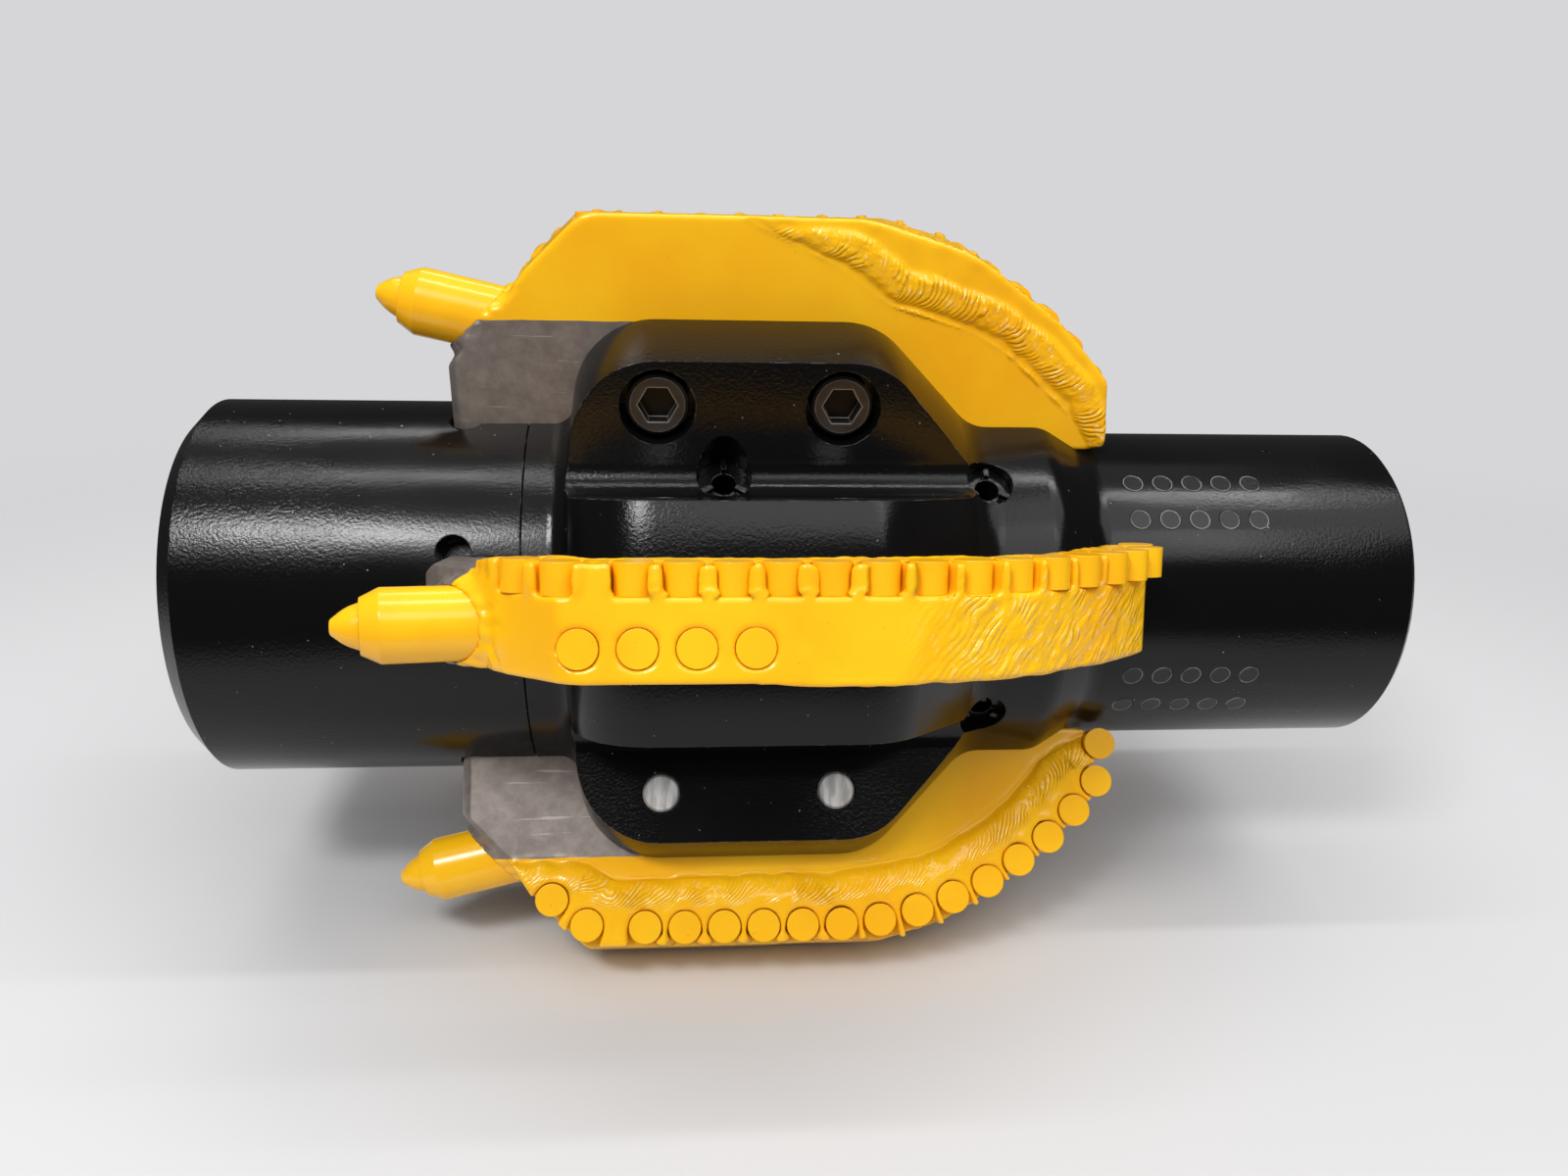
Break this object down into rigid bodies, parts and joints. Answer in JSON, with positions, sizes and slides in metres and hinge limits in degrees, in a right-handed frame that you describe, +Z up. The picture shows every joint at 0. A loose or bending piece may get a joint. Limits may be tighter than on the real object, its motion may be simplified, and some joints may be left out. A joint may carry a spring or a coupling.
{
  "type": "drilling reamer",
  "caption": "Drilling reamer with a black forged body and yellow cutting wings clamped in its hub, lying on two wings",
  "frame": {"origin": "bottom centre of the bounding box, on the ground that the two lowest wings rest on", "axes": "+X along the drill axis towards the smaller box connection, +Z up, +Y away from the side the picture shows"},
  "size_m": [0.7166, 0.4484, 0.4295],
  "materials": {
    "body_paint": "semi-gloss black paint with a fine orange-peel texture",
    "wing_paint": "glossy yellow paint over plate and weld",
    "cutters": "painted over in yellow",
    "bit_steel": "steel, painted over in glossy yellow",
    "carbide": "carbide, painted over in glossy yellow",
    "screw_steel": "dark oxide with bright ends",
    "nozzle_steel": "black",
    "button_steel": "black, flush with the body"
  },
  "bodies": {
    "root": {"bit_body_1": "bit_steel", "bit_body_2": "bit_steel", "bit_body_3": "bit_steel", "bit_body_4": "bit_steel", "bit_body_5": "bit_steel", "bit_tip_1": "carbide", "bit_tip_2": "carbide", "bit_tip_3": "carbide", "bit_tip_4": "carbide", "bit_tip_5": "carbide", "body": "body_paint", "cutters_1": "cutters", "cutters_2": "cutters", "cutters_3": "cutters", "cutters_4": "cutters", "cutters_5": "cutters", "front_nozzle_1": "nozzle_steel", "front_nozzle_2": "nozzle_steel", "front_nozzle_3": "nozzle_steel", "front_nozzle_4": "nozzle_steel", "front_nozzle_5": "nozzle_steel", "gauge_inserts_1": "cutters", "gauge_inserts_2": "cutters", "gauge_inserts_3": "cutters", "gauge_inserts_4": "cutters", "gauge_inserts_5": "cutters", "left_sub": "body_paint", "mid_nozzle_1": "nozzle_steel", "mid_nozzle_2": "nozzle_steel", "mid_nozzle_3": "nozzle_steel", "mid_nozzle_4": "nozzle_steel", "mid_nozzle_5": "nozzle_steel", "wear_buttons_1": "button_steel", "wear_buttons_2": "button_steel", "wear_buttons_3": "button_steel", "wear_buttons_4": "button_steel", "wear_buttons_5": "button_steel", "wing_1": "wing_paint", "wing_2": "wing_paint", "wing_3": "wing_paint", "wing_4": "wing_paint", "wing_5": "wing_paint", "wing_screws_1": "screw_steel", "wing_screws_2": "screw_steel", "wing_screws_3": "screw_steel", "wing_screws_4": "screw_steel", "wing_screws_5": "screw_steel"}
  },
  "joints": []
}
